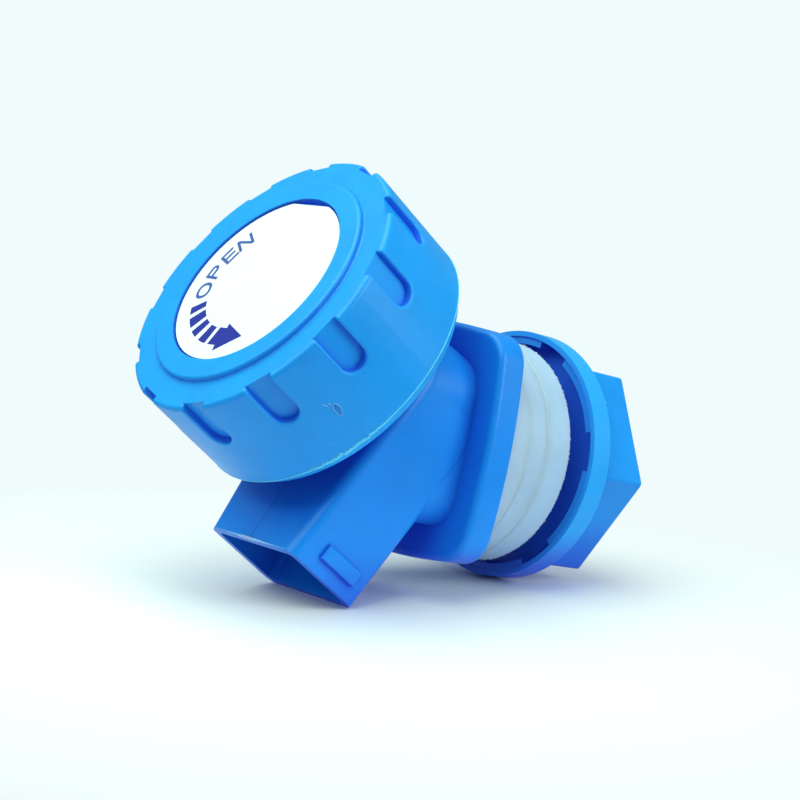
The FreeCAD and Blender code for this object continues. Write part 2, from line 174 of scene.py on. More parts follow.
def bump(tree, shader, height, distance, before=None):
    """Bumps the surface by up to distance, on top of a bump made before."""
    node = add(tree, "ShaderNodeBump")
    node.inputs["Strength"].default_value = 1.0
    node.inputs["Distance"].default_value = distance * MM
    tree.links.new(height, node.inputs["Height"])
    if before is not None:
        tree.links.new(before, node.inputs["Normal"])
    tree.links.new(node.outputs["Normal"], shader.inputs["Normal"])
    return node.outputs["Normal"]


def tinted(colour, factor):
    return tuple(min(1.0, channel * factor) for channel in colour)


def mixed(tree, share, base, colour):
    """Mixes a plain colour into base by a share from 0 to 1."""
    mix = add(tree, "ShaderNodeMix", data_type="RGBA")
    tree.links.new(share, mix.inputs["Factor"])
    tree.links.new(base, mix.inputs["A"])
    mix.inputs["B"].default_value = (*colour, 1.0)
    return mix.outputs["Result"]


# Painted shade in hollows, and a painted glow of light where a wall is thin
HOLLOW_REACH = 14.0
HOLLOW_CLOSED = 0.30
HOLLOW_OPEN = 0.86
HOLLOW_SHADE_TINT = (3.0, 0.39, 0.90)
PAINTED_GLOW_BLUE = (0.030, 0.42, 0.93)
PAINTED_GLOW_SHARE = 0.45
PAINTED_GLOW_EDGE = 0.15


def painted_hollow_shade(tree, base, colour):
    """Paints shade into hollows: a darker, deeper blue where ambient occlusion finds them closed in,
    standing in for the light that has bounced off more of the same plastic.
    """
    hollow = add(tree, "ShaderNodeAmbientOcclusion", samples=8)
    hollow.inputs["Distance"].default_value = HOLLOW_REACH * MM
    share = spread(tree, hollow.outputs["AO"], 1.0, 0.0, HOLLOW_CLOSED, HOLLOW_OPEN)
    shade_colour = tuple(channel * factor for channel, factor in zip(colour, HOLLOW_SHADE_TINT))
    return mixed(tree, share, base, shade_colour)


def painted_glow(tree, places, base, thin):
    """Paints a glow of light, a lighter blue, on the side of a plane where the wall is thin; thin is
    (point, direction away from it).
    """
    point, away = thin
    offset = add(tree, "ShaderNodeVectorMath", operation="SUBTRACT")
    tree.links.new(places, offset.inputs[0])
    offset.inputs[1].default_value = point
    beyond = add(tree, "ShaderNodeVectorMath", operation="DOT_PRODUCT")
    tree.links.new(offset.outputs["Vector"], beyond.inputs[0])
    beyond.inputs[1].default_value = away
    edge = PAINTED_GLOW_EDGE * MM
    share = spread(tree, beyond.outputs["Value"], PAINTED_GLOW_SHARE, 0.0, -edge, edge)
    return mixed(tree, share, base, PAINTED_GLOW_BLUE)


def blue_plastic(name, colour, thin=None, rough_low=0.28, rough_high=0.40):
    """Satin moulded plastic: faint flow clouds, a fine mould grain and small waves from shrinkage, with
    painted shade in hollows and, where a thin wall is given, a painted glow.
    """
    material, tree, shader = new_material(name)
    places = add(tree, "ShaderNodeTexCoord").outputs["Object"]
    clouds = noise_at(tree, places, scale=90.0, detail=4.0, roughness=0.55)
    shades = [(0.3, tinted(colour, 0.93)), (0.5, colour), (0.72, tinted(colour, 1.06))]
    base = ramp(tree, clouds, shades)
    if thin:
        base = painted_glow(tree, places, base, thin)
    base = painted_hollow_shade(tree, base, colour)
    tree.links.new(base, shader.inputs["Base Color"])
    rubbed = noise_at(tree, places, scale=420.0, detail=5.0, roughness=0.6)
    tree.links.new(spread(tree, rubbed, rough_low, rough_high, 0.3, 0.7), shader.inputs["Roughness"])
    waves = noise_at(tree, places, scale=160.0, detail=2.0, roughness=0.4)
    grain = noise_at(tree, places, scale=5200.0, detail=3.0, roughness=0.6)
    waved = bump(tree, shader, waves, distance=0.05)
    bump(tree, shader, grain, distance=0.006, before=waved)
    shader.inputs["Specular IOR Level"].default_value = 0.25
    shader.inputs["Subsurface Weight"].default_value = 0.12
    shader.inputs["Subsurface Radius"].default_value = (0.0003, 0.0011, 0.0022)
    shader.inputs["Subsurface Scale"].default_value = 1.0
    return material


def milky_silicone(name, colour, depth=0.7):
    """Milky translucent silicone with cloudy depth and a slightly greasy surface."""
    material, tree, shader = new_material(name)
    places = add(tree, "ShaderNodeTexCoord").outputs["Object"]
    clouds = noise_at(tree, places, scale=170.0, detail=5.0, roughness=0.6)
    shades = [(0.32, tinted(colour, 0.93)), (0.52, colour), (0.74, tinted(colour, 1.05))]
    tree.links.new(ramp(tree, clouds, shades), shader.inputs["Base Color"])
    wiped = noise_at(tree, places, scale=600.0, detail=4.0, roughness=0.6)
    tree.links.new(spread(tree, wiped, 0.36, 0.52, 0.3, 0.7), shader.inputs["Roughness"])
    skin = noise_at(tree, places, scale=420.0, detail=4.0, roughness=0.6)
    bump(tree, shader, skin, distance=0.09)
    shader.inputs["Subsurface Weight"].default_value = depth
    shader.inputs["Subsurface Radius"].default_value = (0.0016, 0.0026, 0.0034)
    shader.inputs["Subsurface Scale"].default_value = 1.0
    shader.inputs["Specular IOR Level"].default_value = 0.4
    return material


def white_label():
    """Gloss white vinyl with a faint print mottle."""
    material, tree, shader = new_material("gloss_white_label")
    places = add(tree, "ShaderNodeTexCoord").outputs["Object"]
    mottle = noise_at(tree, places, scale=900.0)
    shades = [(0.3, LABEL_WHITES[0]), (0.7, LABEL_WHITES[1])]
    tree.links.new(ramp(tree, mottle, shades), shader.inputs["Base Color"])
    tree.links.new(spread(tree, mottle, 0.24, 0.34), shader.inputs["Roughness"])
    orange_peel = noise_at(tree, places, scale=320.0, detail=2.0)
    bump(tree, shader, orange_peel, distance=0.02)
    return material


def printed_ink(name, colour):
    """Screen-printed ink, a little uneven at the scale of the mesh it was printed through."""
    material, tree, shader = new_material(name)
    places = add(tree, "ShaderNodeTexCoord").outputs["Object"]
    speckle = noise_at(tree, places, scale=3800.0, detail=4.0, roughness=0.65)
    shades = [(0.3, tinted(colour, 0.85)), (0.6, colour), (0.85, tinted(colour, 1.5))]
    tree.links.new(ramp(tree, speckle, shades), shader.inputs["Base Color"])
    tree.links.new(spread(tree, speckle, 0.45, 0.6), shader.inputs["Roughness"])
    bump(tree, shader, speckle, distance=0.006)
    shader.inputs["Specular IOR Level"].default_value = 0.15
    return material


def grey_rubber():
    """Matt sealing rubber with a light bloom."""
    material, tree, shader = new_material("grey_rubber")
    places = add(tree, "ShaderNodeTexCoord").outputs["Object"]
    bloom = noise_at(tree, places, scale=700.0, detail=5.0, roughness=0.6)
    shades = [(0.3, (0.035, 0.036, 0.04)), (0.7, (0.06, 0.061, 0.066))]
    tree.links.new(ramp(tree, bloom, shades), shader.inputs["Base Color"])
    tree.links.new(spread(tree, bloom, 0.62, 0.8), shader.inputs["Roughness"])
    bump(tree, shader, bloom, distance=0.03)
    return material


def screw_steel():
    """Plain stainless steel with fine handling marks."""
    material, tree, shader = new_material("screw_steel")
    places = add(tree, "ShaderNodeTexCoord").outputs["Object"]
    marks = noise_at(tree, places, scale=2600.0, detail=4.0, roughness=0.7)
    shades = [(0.3, (0.50, 0.50, 0.51)), (0.7, (0.64, 0.64, 0.65))]
    tree.links.new(ramp(tree, marks, shades), shader.inputs["Base Color"])
    tree.links.new(spread(tree, marks, 0.24, 0.4), shader.inputs["Roughness"])
    bump(tree, shader, marks, distance=0.008)
    shader.inputs["Metallic"].default_value = 1.0
    return material


BLUE = (0.005, 0.224, 0.785)
KNOB_BLUE = (0.007, 0.298, 0.84)
NUT_BLUE = (0.007, 0.262, 0.79)
LABEL_WHITES = ((0.77, 0.85, 0.92), (0.80, 0.88, 0.95))
WORD_INK = (0.062, 0.105, 0.40)
ARROW_INK = (0.018, 0.028, 0.32)
TRIM_WEAR_AND_HIGHLIGHT_BLUE = (0.12, 0.62, 0.94)
TORN_AND_HIGHLIGHT_BLUE = (0.26, 0.62, 0.92)
LINE_SHADE_BLUE = (0.004, 0.10, 0.48)
SCAR_SHADE_BLUE = (0.006, 0.205, 0.68)
WASHER_SILICONES = ((0.37, 0.50, 0.69), (0.36, 0.50, 0.70), (0.36, 0.51, 0.72))
SEAM_SILICONE = (0.36, 0.51, 0.68)
# Painted light: the knob below its rim line and the nut round its cup, where their walls are thin, are
# painted a lighter blue for the light that shines through them and bounces up onto the knob's rim
KNOB_GLOW_PLANE = (on_valve(0, 0, KNOB_RIM_HEIGHT), (on_valve(0, 0, 1) - on_valve(0, 0, 0)).normalized())
NUT_GLOW_PLANE = (mm((0, NUT_FLANGE_BACK + 0.1, 0)), Vector((0, 1, 0)))
MATERIALS = {
    "tap_body": blue_plastic("blue_plastic_body", BLUE),
    "knob": blue_plastic("blue_plastic_knob", KNOB_BLUE, KNOB_GLOW_PLANE),
    "clamp_nut": blue_plastic("blue_plastic_nut", NUT_BLUE, NUT_GLOW_PLANE),
    "plunger": blue_plastic("blue_plastic_plunger", BLUE),
    "inner_washer_1": milky_silicone("milky_silicone_1", WASHER_SILICONES[0]),
    "inner_washer_2": milky_silicone("milky_silicone_2", WASHER_SILICONES[1]),
    "outer_washer": milky_silicone("milky_silicone_3", WASHER_SILICONES[2]),
    "knob_label": white_label(),
    "seal_disc": grey_rubber(),
    "plunger_o_ring": grey_rubber(),
    "knob_screw": screw_steel(),
}
for node_name, node_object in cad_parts.items():
    for material_slot in node_object.material_slots:
        material_slot.material = MATERIALS[node_name]


# Print on the label: the word OPEN and an arrow for the way the knob turns

PRINT_RISE = 0.03
PRINT_INNER = 10.4
PRINT_OUTER = 13.8
LETTER_HEIGHT = 3.3
LETTER_STROKE = 0.58
LETTERS = (("O", 197.0, 3.5), ("P", 178.0, 2.9), ("E", 160.5, 2.9), ("N", 144.0, 3.2))
LETTER_MIDDLE = 12.25
ARROW_BARS = ((212.2, 219.6), (224.2, 235.0), (240.0, 248.6), (254.6, 264.2))
ARROW_BACK = ((1.6, -13.75), (-0.5, -13.8), (-0.1, -10.3), (1.7, -10.25))
ARROW_POINT = ((1.5, -9.35), (6.8, -11.3), (2.0, -14.9))
ARC_STEPS = 6
BOWL_STEPS = 12
# Parts of the letters, as shares of the stroke or of half the letter
O_SIDE_STROKES = 2.1
E_MIDDLE_ARM = 0.86
N_SLOPE_STROKE = 1.5
P_BOWL_BOTTOM = -0.12


def oval(width, height, count=40, power=0.86):
    """A loop between an ellipse and a rounded rectangle, about its own centre."""
    points = []
    for index in range(count):
        angle = 2 * math.pi * index / count
        c, s = math.cos(angle), math.sin(angle)
        x = math.copysign(abs(c) ** power, c) * width / 2
        y = math.copysign(abs(s) ** power, s) * height / 2
        points.append((x, y))
    return points


def letter_loops(letter, width):
    """Outline loops of a plain upright letter about its centre, holes included."""
    w, h, t = width / 2, LETTER_HEIGHT / 2, LETTER_STROKE
    if letter == "O":
        return [oval(width, LETTER_HEIGHT), oval(width - O_SIDE_STROKES * t, LETTER_HEIGHT - 2 * t)]
    if letter == "E":
        m = t / 2
        arm = w * E_MIDDLE_ARM
        return [[(-w, -h), (w, -h), (w, -h + t), (-w + t, -h + t), (-w + t, -m), (arm, -m),
                 (arm, m), (-w + t, m), (-w + t, h - t), (w, h - t), (w, h), (-w, h)]]
    if letter == "N":
        s = N_SLOPE_STROKE * t
        return [[(-w, -h), (-w + t, -h), (-w + t, h - s), (w - t, -h), (w, -h), (w, h),
                 (w - t, h), (w - t, -h + s), (-w + t, h), (-w, h)]]
    bowl_bottom = P_BOWL_BOTTOM * h
    radius = (h - bowl_bottom) / 2
    outer = [(-w, -h), (-w + t, -h), (-w + t, bowl_bottom)]
    inner = [(-w + t, bowl_bottom + t)]
    for step in range(BOWL_STEPS + 1):
        angle = math.pi * (step / BOWL_STEPS - 0.5)
        for loop, bend in ((outer, radius), (inner, radius - t)):
            loop.append((w - radius + bend * math.cos(angle), h - radius + bend * math.sin(angle)))
    outer.append((-w, h))
    inner.append((-w + t, h - t))
    return [outer, inner]


def word_loops():
    loops = []
    for letter, degrees, width in LETTERS:
        angle = math.radians(degrees)
        outward = Vector((math.cos(angle), math.sin(angle)))
        along = Vector((math.sin(angle), -math.cos(angle)))
        for loop in letter_loops(letter, width):
            loops.append([tuple(outward * (LETTER_MIDDLE + y) + along * x) for x, y in loop])
    return loops


def arrow_loops():
    loops = []
    for start, end in ARROW_BARS:
        bar = []
        for radius, first, last in ((PRINT_OUTER, start, end), (PRINT_INNER, end, start)):
            for step in range(ARC_STEPS + 1):
                angle = math.radians(first + (last - first) * step / ARC_STEPS)
                bar.append((radius * math.cos(angle), radius * math.sin(angle)))
        loops.append(bar)
    loops.append(list(ARROW_BACK + ARROW_POINT))
    return loops


def flat_shape(name, loops, rise):
    """A thin filled shape from closed loops, holes cut out, about its own origin."""
    curve = bpy.data.curves.new(name, "CURVE")
    curve.dimensions = "2D"
    curve.fill_mode = "BOTH"
    curve.extrude = rise * MM
    for loop in loops:
        spline = curve.splines.new("POLY")
        spline.points.add(len(loop) - 1)
        for point, (x, y) in zip(spline.points, loop):
            point.co = (x * MM, y * MM, 0.0, 1.0)
        spline.use_cyclic_u = True
    holder = bpy.data.objects.new(name + "_outline", curve)
    bpy.context.scene.collection.objects.link(holder)
    bpy.context.view_layer.update()
    mesh = bpy.data.meshes.new_from_object(holder)
    bpy.data.objects.remove(holder)
    bpy.data.curves.remove(curve)
    piece = bpy.data.objects.new(name, mesh)
    bpy.context.scene.collection.objects.link(piece)
    return piece


def valve_matrix(h):
    """Turns a shape drawn flat about the origin onto the valve axis at height h."""
    place = Matrix.Translation(on_valve(0.0, 0.0, h))
    return place @ Matrix.Rotation(VALVE_TILT, 4, "X")


def label_print(name, loops, material):
    piece = flat_shape(name, loops, PRINT_RISE)
    piece.data.transform(valve_matrix(LABEL_TOP))
    dress(piece, material, "knob")


label_print("label_word", word_loops(), printed_ink("slate_ink", WORD_INK))
label_print("label_arrow", arrow_loops(), printed_ink("violet_ink", ARROW_INK))


# Threads of the shank and of the nut, in copies of the two CAD meshes

THREAD_PITCH = 1.814
THREAD_STEEPNESS = 1.35
THREAD_ROW = 0.15
SHANK_ROOT = 12.1
SHANK_THREAD_START = 0.8
NUT_THREAD_ROOT = 14.5
THREAD_RUN_OUT = 1.2
BEHIND_SEAT = 1.0
NEAR = 0.04


def shank_radius_of(vert):
    return math.hypot(vert.co.x, vert.co.z) / MM


def node_copy(node, name):
    piece = bpy.data.objects.new(name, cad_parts[node].data.copy())
    bpy.context.scene.collection.objects.link(piece)
    return piece


def thread_wave(y, angle):
    """From -1 in the root to 1 on the crest of a right-hand thread, with flat crests and roots."""
    phase = (y / THREAD_PITCH - angle / (2 * math.pi)) % 1.0
    slope = 4 * abs(phase - 0.5) - 1
    return max(-1.0, min(1.0, THREAD_STEEPNESS * slope))


def border_ring(work, radius, y):
    """The open border on one circle about the shank, in order of angle."""
    found = set()
    for edge in work.edges:
        if len(edge.link_faces) != 1:
            continue
        for vert in edge.verts:
            if abs(vert.co.y / MM - y) < NEAR and abs(shank_radius_of(vert) - radius) < NEAR:
                found.add(vert)
    return sorted(found, key=lambda vert: math.atan2(vert.co.z, vert.co.x))


def crisp_ring(work, ring):
    for index, vert in enumerate(ring):
        edge = work.edges.get((vert, ring[(index + 1) % len(ring)]))
        if edge:
            edge.smooth = False


def grow(work, ring, rows, outward):
    """Adds rows of (y, radius at an angle, crisp) to a ring and returns the last one."""
    last = ring
    angles = [math.atan2(vert.co.z, vert.co.x) for vert in ring]
    for y, radius_at, crisp in rows:
        row = []
        for angle in angles:
            radius = radius_at(angle)
            row.append(work.verts.new(mm((radius * math.cos(angle), y, radius * math.sin(angle)))))
        for index in range(len(ring)):
            after = (index + 1) % len(ring)
            corners = [last[index], row[index], row[after], last[after]]
            if not outward:
                corners.reverse()
            work.faces.new(corners).smooth = True
        if crisp:
            crisp_ring(work, row)
        last = row
    return last


def close_rings(work, first, second, facing):
    """Joins two rings of vertices with faces that look the way facing says."""
    edges = []
    for ring in (first, second):
        for index, vert in enumerate(ring):
            pair = (vert, ring[(index + 1) % len(ring)])
            edges.append(work.edges.get(pair) or work.edges.new(pair))
    made = bmesh.ops.bridge_loops(work, edges=edges)["faces"]
    for face in made:
        face.normal_update()
        if face.normal.dot(facing(face.calc_center_median())) < 0:
            face.normal_flip()
        face.smooth = True


def fixed(radius):
    return lambda angle: radius


def heights_and_reach(face):
    """The least and greatest y of a face, and its greatest distance from the shank's axis."""
    heights = [vert.co.y / MM for vert in face.verts]
    return min(heights), max(heights), max(shank_radius_of(vert) for vert in face.verts)


def shank_thread_at(y):
    start = min(1.0, max(0.0, (y - SHANK_THREAD_START) / THREAD_RUN_OUT))
    chamfer = SHANK_RADIUS - SHANK_CHAMFER + SHANK_LENGTH - y
    middle = (SHANK_RADIUS + SHANK_ROOT) / 2
    half = (SHANK_RADIUS - SHANK_ROOT) / 2

    def radius(angle):
        cut = SHANK_RADIUS - (middle + half * thread_wave(y, angle))
        return min(chamfer, SHANK_RADIUS - cut * start)

    return radius


def nut_thread_at(y):
    start = min(1.0, max(0.0, (y - NUT_CUP_FLOOR) / THREAD_RUN_OUT))
    lead_in = NUT_LEAD_IN - (NUT_END - y)
    middle = (NUT_THREAD_ROOT + NUT_BORE) / 2
    half = (NUT_THREAD_ROOT - NUT_BORE) / 2

    def radius(angle):
        cut = middle + half * thread_wave(y, angle) - NUT_BORE
        return max(lead_in, NUT_BORE + cut * start)

    return radius


def between(start, end):
    """Heights of the rows strictly between two ends."""
    count = int((end - start) / THREAD_ROW)
    return [start + (end - start) * step / count for step in range(1, count)]


def threaded_body():
    piece = node_copy("tap_body", "tap_body_threaded")
    work = bmesh.new()
    work.from_mesh(piece.data)
    gone = []
    for face in work.faces:
        low, high, reach = heights_and_reach(face)
        if low > -NEAR and high > BEHIND_SEAT and reach > INLET_RADIUS + NEAR:
            gone.append(face)
    bmesh.ops.delete(work, geom=gone, context="FACES")
    ring = border_ring(work, SHANK_RADIUS, 0.0)
    inlet = border_ring(work, INLET_RADIUS, SHANK_BORE_END)
    rows = [(y, shank_thread_at(y), False) for y in between(0.0, SHANK_LENGTH)]
    rows.append((SHANK_LENGTH, fixed(SHANK_RADIUS - SHANK_CHAMFER), True))
    rows.append((SHANK_LENGTH, fixed(SHANK_BORE), True))
    rows.append((SHANK_BORE_END, fixed(SHANK_BORE), True))
    last = grow(work, ring, rows, True)
    crisp_ring(work, ring)
    close_rings(work, last, inlet, lambda centre: Vector((0, 1, 0)))
    crisp_ring(work, inlet)
    work.to_mesh(piece.data)
    work.free()
    dress(piece, MATERIALS["tap_body"], "tap")
    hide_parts("tap_body")


def threaded_nut():
    piece = node_copy("clamp_nut", "clamp_nut_threaded")
    work = bmesh.new()
    work.from_mesh(piece.data)
    gone = []
    for face in work.faces:
        low, high, reach = heights_and_reach(face)
        if reach < NUT_LEAD_IN + NEAR and high - low > NEAR:
            gone.append(face)
    bmesh.ops.delete(work, geom=gone, context="FACES")
    ring = border_ring(work, NUT_BORE, NUT_CUP_FLOOR)
    end = border_ring(work, NUT_LEAD_IN, NUT_END)
    rows = [(y, nut_thread_at(y), False) for y in between(NUT_CUP_FLOOR, NUT_END)]
    last = grow(work, ring, rows, False)
    crisp_ring(work, ring)
    close_rings(work, last, end, lambda centre: Vector((-centre.x, 0, -centre.z)))
    crisp_ring(work, end)
    work.to_mesh(piece.data)
    work.free()
    dress(piece, MATERIALS["clamp_nut"], "nut")
    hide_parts("clamp_nut")


threaded_body()
threaded_nut()


# Flash, burrs and parting lines left by the moulds. A pair of half widths or rises is the least and
# the greatest.

RIDGE_SINK = 0.06


def ridge(name, samples, closed, material, body):
    """A low three-sided ridge along a path; samples are (foot, side, out, half width, height)."""
    verts = []
    faces = []
    for foot, side, out, half, height in samples:
        sunk = foot - out * RIDGE_SINK * MM
        verts += [sunk - side * half * MM, sunk + side * half * MM, foot + out * height * MM]
    steps = len(samples) if closed else len(samples) - 1
    for index in range(steps):
        here = 3 * index
        after = 3 * ((index + 1) % len(samples))
        for corner in range(3):
            other = (corner + 1) % 3
            faces.append((here + corner, after + corner, after + other, here + other))
    if not closed:
        end = 3 * len(samples)
        faces += [(0, 1, 2), (end - 1, end - 2, end - 3)]
    dress(new_object(name, verts, faces), material, body)


def jitter(degrees, scale, seed):
    """Smooth noise round a circle, from about -1 to 1."""
    angle = math.radians(degrees)
    return noise.noise(Vector((math.cos(angle) * scale, math.sin(angle) * scale, seed)))


def waver(place, scale, seeds):
    """Smooth noise along a line, from about -1 to 1."""
    return noise.noise(Vector((place * scale, *seeds)))


def peak(distance, width):
    """A smooth peak of 1 that dies away with the distance from its middle."""
    return math.exp(-(distance / width) ** 2)


def part_way(ends, share):
    """A value between two ends, by a share from 0 to 1."""
    return ends[0] + (ends[1] - ends[0]) * share


def valve_direction(x, y, h):
    return (on_valve(x, y, h) - on_valve(0, 0, 0)).normalized()


def out_of_knob(degrees):
    """The direction straight out of the knob's side."""
    angle = math.radians(degrees)
    return valve_direction(math.cos(angle), math.sin(angle), 0.0)


def out_of_shank(degrees):
    """The direction straight out from the shank's axis."""
    angle = math.radians(degrees)
    return Vector((math.cos(angle), 0.0, math.sin(angle)))


def round_shank(radius, degrees, y):
    return mm(out_of_shank(degrees) * radius + Vector((0.0, y, 0.0)))


FLASH_STEPS = 1080
FLASH_TORN = 318.0
FLASH_TORN_WIDTH = 17.0
FLASH_SINK = 0.01
FLASH_HALF = (0.16, 0.38)
FLASH_RISE = 0.09
FLASH_FINE_RISE = 0.07
FLASH_TORN_RISE = 0.36
FLASH_WANDER = 0.34


def knob_flash(material):
    """The ragged line where the two halves of the knob's mould met, in the lighter trim blue that
    paints a highlight along the rim's edge.
    """
    samples = []
    axis = valve_direction(0, 0, 1)
    for step in range(FLASH_STEPS):
        degrees = 360.0 * step / FLASH_STEPS
        fine = jitter(degrees, scale=70.0, seed=4.2)
        torn = max(peak(degrees - FLASH_TORN, FLASH_TORN_WIDTH), jitter(degrees, scale=5.0, seed=1.7))
        height = FLASH_RISE + (FLASH_FINE_RISE + FLASH_TORN_RISE * torn) * max(0.0, fine)
        h = KNOB_RIM_HEIGHT + FLASH_WANDER * torn * fine
        foot = round_valve(KNOB_RADIUS - FLASH_SINK, degrees, h)
        samples.append((foot, axis, out_of_knob(degrees), part_way(FLASH_HALF, torn), height))
    ridge("knob_flash", samples, True, material, "knob")


MARK_SINK = 0.05
SCAR_DEGREES = -32.4
SCAR_HEIGHT = 9.9
SCAR_HALF_DEGREES = 0.95
SCAR_HALF_HEIGHT = 1.15
SCAR_LEAN = 0.35
SCAR_STEPS = 40
SCAR_ROUGH = 0.30
SCAR_LIP_HALF = 0.11
SCAR_LIP_RISE = 0.12
SCAR_LIP_ROUGH = 0.08
SCAR_BED_HALF_HEIGHT = 1.1
SCAR_BED_STEPS = 24
SCAR_BED_SINK = 0.02
# Rings of the scar's bed, as (share of its half sizes, rise over its edge), and its middle
SCAR_BED_RINGS = ((1.0, 0.0), (0.7, 0.035), (0.35, 0.05))
SCAR_BED_MIDDLE = 0.055
SCAR_BED_ROOT = 0.3
# Both ends of each scratch, as (degrees, height)
SCRATCHES = (((-35.3, 12.5), (-33.9, 11.3)), ((-33.6, 12.0), (-32.9, 11.2)))
SCRATCH_STEPS = 12
SCRATCH_WANDER = 0.25
SCRATCH_HALF = (0.02, 0.11)
SCRATCH_RISE = (0.055, 0.105)
SCUFF_COUNT = 14
SCUFF_STEPS = 6
SCUFF_SLANT = 1.6
SCUFF_HALF = (0.02, 0.05)
SCUFF_RISE = (0.052, 0.072)


def knob_mark(name, points, closed, material):
    """A scratch or scar on the knob's side; points are (degrees, height, half width, rise)."""
    feet = [round_valve(KNOB_RADIUS - MARK_SINK, degrees, h) for degrees, h, half, rise in points]
    samples = []
    count = len(points)
    for index, (degrees, h, half, rise) in enumerate(points):
        before = feet[index - 1] if closed or index > 0 else feet[index]
        after = feet[(index + 1) % count] if closed or index < count - 1 else feet[index]
        out = out_of_knob(degrees)
        side = out.cross(after - before).normalized()
        samples.append((feet[index], side, out, half, rise))
    ridge(name, samples, closed, material, "knob")


def knob_scar(material):
    """The ragged lip of the small crater on the knob's side, in the lighter trim blue that paints a
    highlight on the lip.
    """
    lip = []
    for step in range(SCAR_STEPS):
        turn = 2 * math.pi * step / SCAR_STEPS
        rough = jitter(360.0 * step / SCAR_STEPS, scale=2.2, seed=6.6)
        wider = SCAR_ROUGH * rough
        across = (SCAR_HALF_DEGREES + wider) * math.cos(turn) + SCAR_LEAN * math.sin(turn)
        h = SCAR_HEIGHT + (SCAR_HALF_HEIGHT + wider) * math.sin(turn)
        lip.append((SCAR_DEGREES + across, h, SCAR_LIP_HALF, SCAR_LIP_RISE + SCAR_LIP_ROUGH * rough))
    knob_mark("knob_scar", lip, True, material)


def scar_bed(material):
    """The matt floor of the crater, a shallow lens inside the scar's lip, painted a darker blue for the
    shade in the crater.
    """
    verts = []
    faces = []
    edge = KNOB_RADIUS - SCAR_BED_SINK
    for share, rise in SCAR_BED_RINGS:
        for step in range(SCAR_BED_STEPS):
            turn = 2 * math.pi * step / SCAR_BED_STEPS
            across = share * (SCAR_HALF_DEGREES * math.cos(turn) + SCAR_LEAN * math.sin(turn))
            h = SCAR_HEIGHT + share * SCAR_BED_HALF_HEIGHT * math.sin(turn)
            verts.append(round_valve(edge + rise, SCAR_DEGREES + across, h))
    top = len(verts)
    verts.append(round_valve(edge + SCAR_BED_MIDDLE, SCAR_DEGREES, SCAR_HEIGHT))
    foot = len(verts)
    verts.append(round_valve(KNOB_RADIUS - SCAR_BED_ROOT, SCAR_DEGREES, SCAR_HEIGHT))
    inner = (len(SCAR_BED_RINGS) - 1) * SCAR_BED_STEPS
    for step in range(SCAR_BED_STEPS):
        after = (step + 1) % SCAR_BED_STEPS
        for near in range(0, inner, SCAR_BED_STEPS):
            far = near + SCAR_BED_STEPS
            faces.append((near + step, near + after, far + after, far + step))
        faces.append((inner + step, inner + after, top))
        faces.append((after, step, foot))
    dress(new_object("knob_scar_bed", verts, faces, True), material, "knob")


def knob_scratches(material):
    """Two scratches above the scar."""
    for number, (start, end) in enumerate(SCRATCHES):
        points = []
        for step in range(SCRATCH_STEPS + 1):
            share = step / SCRATCH_STEPS
            wander = SCRATCH_WANDER * waver(share, scale=3.0, seeds=(number, 3.3))
            degrees = part_way((start[0], end[0]), share) + wander
            h = part_way((start[1], end[1]), share) + wander
            thick = math.sin(math.pi * share)
            points.append((degrees, h, part_way(SCRATCH_HALF, thick), part_way(SCRATCH_RISE, thick)))
        knob_mark("knob_scratch_%d" % (number + 1), points, False, material)


def knob_scuffs(material):
    """Short light scuffs scattered over the knob's side."""
    dice = random.Random(41)
    for number in range(SCUFF_COUNT):
        degrees = dice.uniform(-180.0, 180.0)
        h = dice.uniform(3.5, 11.5)
        slant = SCUFF_SLANT * dice.uniform(-1.0, 1.0)
        length = dice.uniform(0.25, 0.8)
        points = []
        for step in range(SCUFF_STEPS + 1):
            share = step / SCUFF_STEPS - 0.5
            along = length * share
            thick = 1.0 - 4 * share * share
            place = (degrees + slant * along, h + along)
            points.append((*place, part_way(SCUFF_HALF, thick), part_way(SCUFF_RISE, thick)))
        knob_mark("knob_scuff_%d" % (number + 1), points, False, material)


MOUTH_STEPS = 400
MOUTH_TORN = 0.3
MOUTH_TORN_WIDTH = 3.7
MOUTH_BURR_HALF = (0.10, 0.30)
MOUTH_BURR_RISE = 0.03
MOUTH_TORN_RISE = 0.12
MOUTH_FINE_RISE = 0.52
MOUTH_COARSE_RISE = 0.30
MOUTH_BURR_SET_BACK = (0.10, 0.03)
MOUTH_BURR_WANDER = (0.16, 0.08)


def mouth_burr(material):
    """The rough edge that trimming left along the front of the mouth, in a pale blue that is partly
    whitened torn plastic and partly a painted highlight along the edge.
    """
    samples = []
    reach = SPOUT_MOUTH_HALF - SPOUT_EDGE_ROUND
    out = valve_direction(0, -0.8, 0.6)
    side = valve_direction(0, 0.6, 0.8)
    edge_y = -SPOUT_REACH + MOUTH_BURR_SET_BACK[0]
    edge_h = BODY_FRONT - MOUTH_BURR_SET_BACK[1]
    for step in range(MOUTH_STEPS + 1):
        x = reach * (2.0 * step / MOUTH_STEPS - 1.0)
        torn = peak(x - MOUTH_TORN, MOUTH_TORN_WIDTH)
        fine = waver(x, scale=4.5, seeds=(3.1, 0.4))
        coarse = waver(x, scale=1.4, seeds=(7.7, 1.9))
        ragged = MOUTH_FINE_RISE * max(0.0, fine) + MOUTH_COARSE_RISE * max(0.0, coarse)
        height = MOUTH_BURR_RISE + torn * (MOUTH_TORN_RISE + ragged)
        y = edge_y - MOUTH_BURR_WANDER[0] * torn * coarse
        h = edge_h + MOUTH_BURR_WANDER[1] * torn * fine
        samples.append((on_valve(x, y, h), side, out, part_way(MOUTH_BURR_HALF, torn), height))
    ridge("mouth_burr", samples, False, material, "tap")


SPOUT_LINE_STEPS = 90
SPOUT_LINE_TOP = -19.0
SPOUT_LINE_BOTTOM = -SPOUT_REACH + 0.15
SPOUT_LINE_HALF = 0.09
SPOUT_LINE_RISE = 0.04
SPOUT_LINE_ROUGH = 0.05
SPOUT_LINE_WANDER = 0.07


